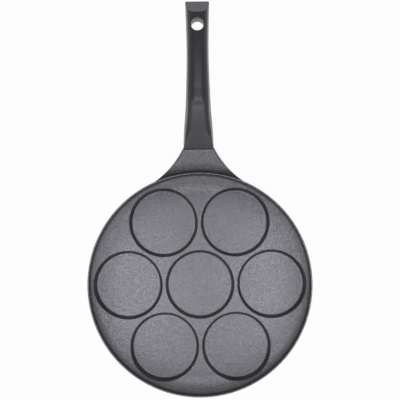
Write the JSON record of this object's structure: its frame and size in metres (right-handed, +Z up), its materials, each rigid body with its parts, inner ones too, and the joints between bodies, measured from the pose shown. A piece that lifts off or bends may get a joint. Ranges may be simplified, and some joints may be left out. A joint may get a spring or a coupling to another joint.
{
  "type": "pancake pan",
  "caption": "Shallow round cast pan with small round pancake wells, a flared neck and a curved moulded handle with a hanging hole.",
  "frame": {"origin": "centre of the flat base, on its underside", "axes": "+Z up, +Y from the pan's centre along the handle, +X to the right seen from above with the handle at the top"},
  "size_m": [0.26, 0.4546, 0.0453],
  "materials": {
    "coated_aluminium": "cast aluminium under a dark grey speckled nonstick coating, satin",
    "black_phenolic": "black thermoset moulding, satin",
    "plated_steel": "zinc-plated steel"
  },
  "bodies": {
    "root": {"pan_body": "coated_aluminium", "handle": "black_phenolic", "handle_screw": "plated_steel", "spring_washer": "plated_steel", "flat_washer": "plated_steel"}
  },
  "joints": []
}
